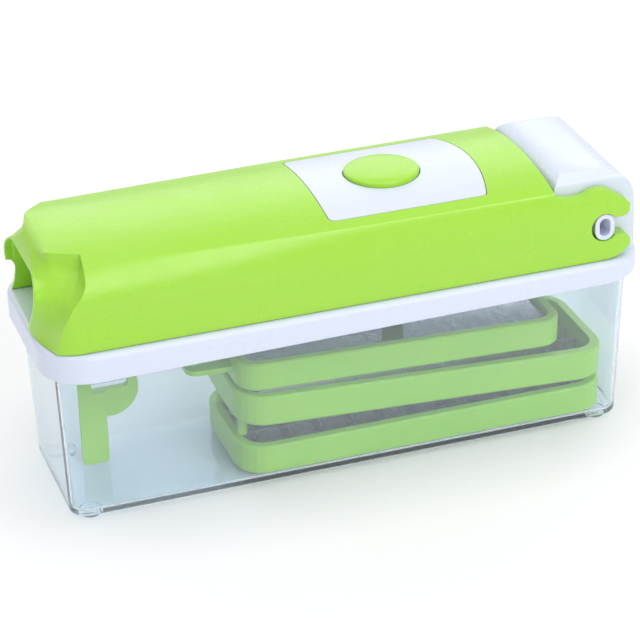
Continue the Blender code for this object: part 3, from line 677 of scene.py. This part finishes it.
def cut_arch(lid):
    """Horseshoe opening in the nose, deep only in its middle; the far foot is cut back."""
    knots = [(9.8, 80.0), (11.6, 85.0), (14.3, 88.5), (17.0, 91.5), (20.3, 95.5), (23.8, 99.5)]
    knots += [(26.0, 104.0), (25.8, 107.5), (23.4, 110.6), (19.4, 112.8), (16.0, 113.5)]
    half = [(y, z) for y, z in smooth_chain(knots, 5)]
    outline = half + [(-y, z) for y, z in reversed(half)]
    cut(lid, prism("arch", outline, "x", -150.0, -131.6))
    half = [(8.6, 80.0), (11.0, 86.0), (13.0, 88.5), (15.5, 91.5), (18.4, 96.0), (21.0, 101.0)]
    half += [(21.0, 106.0), (18.6, 110.4), (15.7, 113.0)]
    outline = half + [(-y, z) for y, z in reversed(half)]
    cut(lid, prism("arch_deep", outline, "x", -151.0, -124.0))
    foot = [(0.0, 80.0), (27.0, 80.0), (27.6, 88.0), (27.3, 95.0), (26.2, 99.5), (24.0, 102.0)]
    foot += [(0.0, 102.0)]
    cut(lid, prism("far_foot", foot, "x", -152.0, -123.5))


def cut_clip(lid, side):
    """Round bore for the pin and the slot that opens it towards the rear."""
    y0, y1 = side * 30.0, side * BESIDE_LID
    cut(lid, prism("bore", ellipse(CLIP_BORE, CLIP_BORE, PIN_X, PIN_Z), "y", y0, y1))
    low = PIN_Z - CLIP_SLOT / 2
    high = PIN_Z + CLIP_SLOT / 2
    jaw = [(8.1, 0.0), (10.1, 0.5), (11.2, 1.6), (11.6, 3.2), (11.9, 12.0), (36.0, 12.0)]
    slot = [(PIN_X, low)] + [(PIN_X + dx, low - dz) for dx, dz in jaw]
    slot += [(PIN_X + dx, high + dz) for dx, dz in reversed(jaw)] + [(PIN_X, high)]
    cut(lid, prism("slot", slot, "y", y0, y1))


def panel_outline(grow):
    """Outline of the panel, bowed at the hinge end, grown by a gap."""
    x0, x1 = PANEL_X
    half = PANEL_HALF + grow
    radius = (PANEL_HALF ** 2 + PANEL_BOW ** 2) / (2 * PANEL_BOW)
    corner = 3.0
    points = []
    for y in np.linspace(-half + 1.2, half - 1.2, 60):
        points.append((x1 + grow - radius + math.sqrt(radius ** 2 - y * y), y))
    last = points[-1]
    points.append((last[0] - 0.7, half - 0.35))
    points.append((last[0] - 2.2, half))
    points += fillet_arc((x0 - grow + corner, half - corner), corner, 90.0, 180.0, 10)
    points += fillet_arc((x0 - grow + corner, -half + corner), corner, 180.0, 270.0, 10)
    points.append((last[0] - 2.2, -half))
    points.append((last[0] - 0.7, -half + 0.35))
    return points


def crown_band(low_drop, high_drop, x0, x1):
    """Slab that follows the crown of the lid between two depths."""
    ys = np.linspace(-36.0, 36.0, 49)
    low = [(y, crown_z(y, low_drop)) for y in ys]
    high = [(y, crown_z(y, high_drop)) for y in reversed(ys)]
    return prism("band", low + high, "x", x0, x1)


def lid_cavity():
    """Meant hollow under the roof, clear of the scoops and of the button well.

    Known fault: the intersection with the side outline comes out with no faces, so the cavity
    is empty and the lid is left solid.
    """
    cavity = lid_body("cavity", False, ARM_ROOT_X)
    common(cavity, prism("side", cavity_side_outline(), "y", -BESIDE_LID, BESIDE_LID))
    common(cavity, prism("plan", lid_plan(LID_WALL), "z", 78.0, ABOVE_LID))
    for side in (-1, 1):
        cut(cavity, build_scoop(side, SCOOP_WALL))
    bx, by = BUTTON_XY
    well = ellipse(BUTTON_HALF[0] + 2.6, BUTTON_HALF[1] + 2.6, bx, by)
    cut(cavity, prism("well", well, "z", WELL_FLOOR_Z - SCOOP_WALL, ABOVE_LID))
    return cavity


def rear_gap():
    """Space between the hinge arms, under the rear end of the roof."""
    ys = np.linspace(-ARM_INNER_Y, ARM_INNER_Y, 25)
    roof = [(y, crown_z(y, LID_ROOF + 0.1)) for y in ys]
    outline = [(ARM_INNER_Y, 78.0), (-ARM_INNER_Y, 78.0)] + roof
    return prism("gap", outline, "x", ARM_ROOT_X - 3.0, LID_REAR_X + 4)


def build_lid(material):
    """Green lid: body, scoops, clips, opening in the nose, recess and button shaft."""
    lid = lid_body("lid", True, 140.0)
    common(lid, prism("side", lid_side_outline(), "y", -BESIDE_LID, BESIDE_LID))
    common(lid, prism("plan", lid_plan(0.0), "z", LID_LOW_Z, ABOVE_LID))
    middle = [(LID_REAR_X, -ARM_INNER_Y), (150.0, -ARM_INNER_Y)]
    middle += [(150.0, ARM_INNER_Y), (LID_REAR_X, ARM_INNER_Y)]
    cut(lid, prism("middle", middle, "z", 70.0, ABOVE_LID))
    for side in (-1, 1):
        cut(lid, build_scoop(side, 0.0))
        cut_clip(lid, side)
    cut(lid, lid_cavity())
    cut(lid, rear_gap())
    cut_arch(lid)
    recess = crown_band(PANEL_THICK + 0.3, -5.0, PANEL_X[0] - 10, PANEL_X[1] + 10)
    common(recess, prism("recess", panel_outline(PANEL_GAP), "z", 100.0, ABOVE_LID))
    cut(lid, recess)
    bx, by = BUTTON_XY
    shaft = ellipse(BUTTON_HALF[0] + SHAFT_GAP, BUTTON_HALF[1] + SHAFT_GAP, bx, by)
    cut(lid, prism("shaft", shaft, "z", WELL_FLOOR_Z, ABOVE_LID))
    cut(lid, prism("stem_hole", ellipse(3.6, 3.6, bx, by, 48), "z", 90.0, ABOVE_LID))
    return present(lid, "lid", material, "lid", ["lid_shell"])


def build_panel(material):
    """White panel let into the roof, with the hole for the button."""
    panel = prism("panel", panel_outline(0.0), "z", 110.0, 135.0)
    hole = ellipse(BUTTON_HALF[0] + HOLE_GAP, BUTTON_HALF[1] + HOLE_GAP, *BUTTON_XY)
    cut(panel, prism("hole", hole, "z", 100.0, ABOVE_LID))
    common(panel, crown_band(PANEL_THICK, 0.0, PANEL_X[0] - 10, PANEL_X[1] + 10))
    return present(panel, "panel", material, "lid", ["lid_panel"])


def build_button(material):
    """Oval button with a domed top and a stem."""
    bx, by = BUTTON_XY
    rx, ry = BUTTON_HALF
    sections = [[(x, y, 119.4) for x, y in ellipse(rx, ry, bx, by)]]
    for k in range(9):
        a = math.radians(90.0 * k / 8)
        edge = 1.0 - 0.075 * (1 - math.cos(a))
        z = 125.0 + 1.1 * math.sin(a)
        sections.append([(x, y, z) for x, y in ellipse(rx * edge, ry * edge, bx, by)])
    for scale, z in ((0.8, 126.55), (0.6, 126.82), (0.35, 126.96), (0.12, 127.0)):
        sections.append([(x, y, z) for x, y in ellipse(rx * scale, ry * scale, bx, by)])
    button = loft("button_cap", sections)
    join(button, prism("stem", ellipse(3.0, 3.0, bx, by, 40), "z", 110.4, 120.0))
    return present(button, "button_cap", material, "button", ["release_button"])


def build_spring(material):
    """Round-wire coil spring under the button, with closed ends."""
    turns, radius, wire = 4.5, 7.0, 0.5
    low, high = WELL_FLOOR_Z + 0.95, 118.4
    bx, by = BUTTON_XY
    steps = int(turns * 48)
    sections = []
    for k in range(steps + 1):
        t = k / steps
        a = 2 * math.pi * turns * t
        z = low + (high - low) * t
        section = []
        for j in range(12):
            b = 2 * math.pi * j / 12
            reach = radius + wire * math.cos(b)
            section.append((bx + reach * math.cos(a), by + reach * math.sin(a), z + wire * math.sin(b)))
        sections.append(section)
    return present(loft("coil", sections), "coil", material, "lid", ["button_spring"], 60.0)


# ---------------------------------------------------------------- carried-over CAD nodes

def dress_node(node, material, bevel=0.0):
    """Give a CAD node its finished material and, where asked, softened edges."""
    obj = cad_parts[node]
    obj.data.materials.clear()
    obj.data.materials.append(material)
    if bevel > 0:
        mod = obj.modifiers.new("edges", "BEVEL")
        mod.width = bevel * MM
        mod.segments = 2
        mod.limit_method = "ANGLE"
        mod.angle_limit = math.radians(40.0)
        mod.harden_normals = False


# ---------------------------------------------------------------- stage

def build_floor():
    """Pale floor just under the feet."""
    bpy.ops.mesh.primitive_plane_add(size=30.0, location=(0.0, 0.0, -0.0002))
    floor = bpy.context.object
    floor.name = "floor"
    mat, nodes, links = new_material("floor_white")
    shader = nodes["Principled BSDF"]
    coords = nodes.new("ShaderNodeTexCoord").outputs["Object"]
    soft = noise(nodes, links, coords, 3.0, 2.0)
    tone = mix_colour(nodes, links, soft, (0.955, 0.955, 0.96, 1.0), (0.97, 0.97, 0.975, 1.0))
    links.new(tone, shader.inputs["Base Color"])
    shader.inputs["Roughness"].default_value = 0.75
    shader.inputs["Specular IOR Level"].default_value = 0.15
    floor.data.materials.append(mat)


def add_light(name, place, target, size, power, colour=(1.0, 1.0, 1.0)):
    data = bpy.data.lights.new(name, "AREA")
    data.shape = "RECTANGLE"
    data.size = size[0]
    data.size_y = size[1]
    data.energy = power
    data.color = colour
    light = bpy.data.objects.new(name, data)
    bpy.context.scene.collection.objects.link(light)
    light.location = place
    light.rotation_euler = (Vector(target) - Vector(place)).to_track_quat("-Z", "Y").to_euler()


def build_lights():
    """White surroundings and three large soft lamps."""
    world = bpy.data.worlds.new("soft_white")
    world.use_nodes = True
    background = world.node_tree.nodes["Background"]
    background.inputs["Color"].default_value = (0.98, 0.99, 1.0, 1.0)
    background.inputs["Strength"].default_value = 0.52
    bpy.context.scene.world = world
    centre = (0.0, 0.0, 0.06)
    add_light("overhead", (0.0, -0.1, 1.7), centre, (2.0, 1.4), 14.5)
    add_light("key", (0.55, -1.8, 1.1), centre, (1.3, 1.0), 15.0)
    add_light("rear", (0.3, 2.2, 1.15), centre, (3.4, 1.3), 18.0)


def build_camera():
    """Camera aimed from its place at its target, then rolled."""
    data = bpy.data.cameras.new("camera")
    data.sensor_width = 36.0
    data.lens = CAMERA_LENS
    data.clip_start = 0.05
    data.clip_end = 60.0
    camera = bpy.data.objects.new("camera", data)
    bpy.context.scene.collection.objects.link(camera)
    place = Vector(CAMERA_AT) * MM
    back = (place - Vector(CAMERA_TARGET) * MM).normalized()
    right = Vector((0.0, 0.0, 1.0)).cross(back).normalized()
    up = back.cross(right)
    turned = math.cos(CAMERA_ROLL) * right + math.sin(CAMERA_ROLL) * up
    upward = -math.sin(CAMERA_ROLL) * right + math.cos(CAMERA_ROLL) * up
    rows = Matrix((turned, upward, back)).transposed()
    camera.matrix_world = Matrix.Translation(place) @ rows.to_4x4()
    bpy.context.scene.camera = camera


# ---------------------------------------------------------------- build

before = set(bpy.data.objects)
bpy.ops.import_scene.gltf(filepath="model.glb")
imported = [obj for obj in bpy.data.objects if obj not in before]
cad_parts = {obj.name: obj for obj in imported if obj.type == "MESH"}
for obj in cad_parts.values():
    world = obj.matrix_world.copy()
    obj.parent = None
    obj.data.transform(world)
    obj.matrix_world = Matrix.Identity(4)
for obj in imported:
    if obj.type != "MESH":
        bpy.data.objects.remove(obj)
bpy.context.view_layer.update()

green = moulded_plastic("green_moulded", GREEN, GREEN_DEEP, 0.27, 0.08, subsurface=0.10)
white = moulded_plastic("white_moulded", WHITE, WHITE_DEEP, 0.30, 0.08, subsurface=0.05)
insert_green = moulded_plastic("insert_green", GREEN, GREEN_DEEP, 0.34, 0.14, edge=0.25)
clear = clear_plastic("clear_styrene")
steel = ground_steel("ground_steel")

build_tub(clear)
build_base(white)
build_lid(green)
build_panel(white)
build_button(green)
build_spring(steel)
dress_node("pusher_plate", white)
for node_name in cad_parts:
    if "blade" in node_name:
        dress_node(node_name, steel)
for node_name in ("fitted_frame", "stored_fine_frame", "stored_strip_frame",
                  "stored_slicer_frame", "peeler_handle"):
    dress_node(node_name, insert_green)

build_floor()
build_lights()
build_camera()
bpy.context.scene.view_settings.view_transform = "Standard"
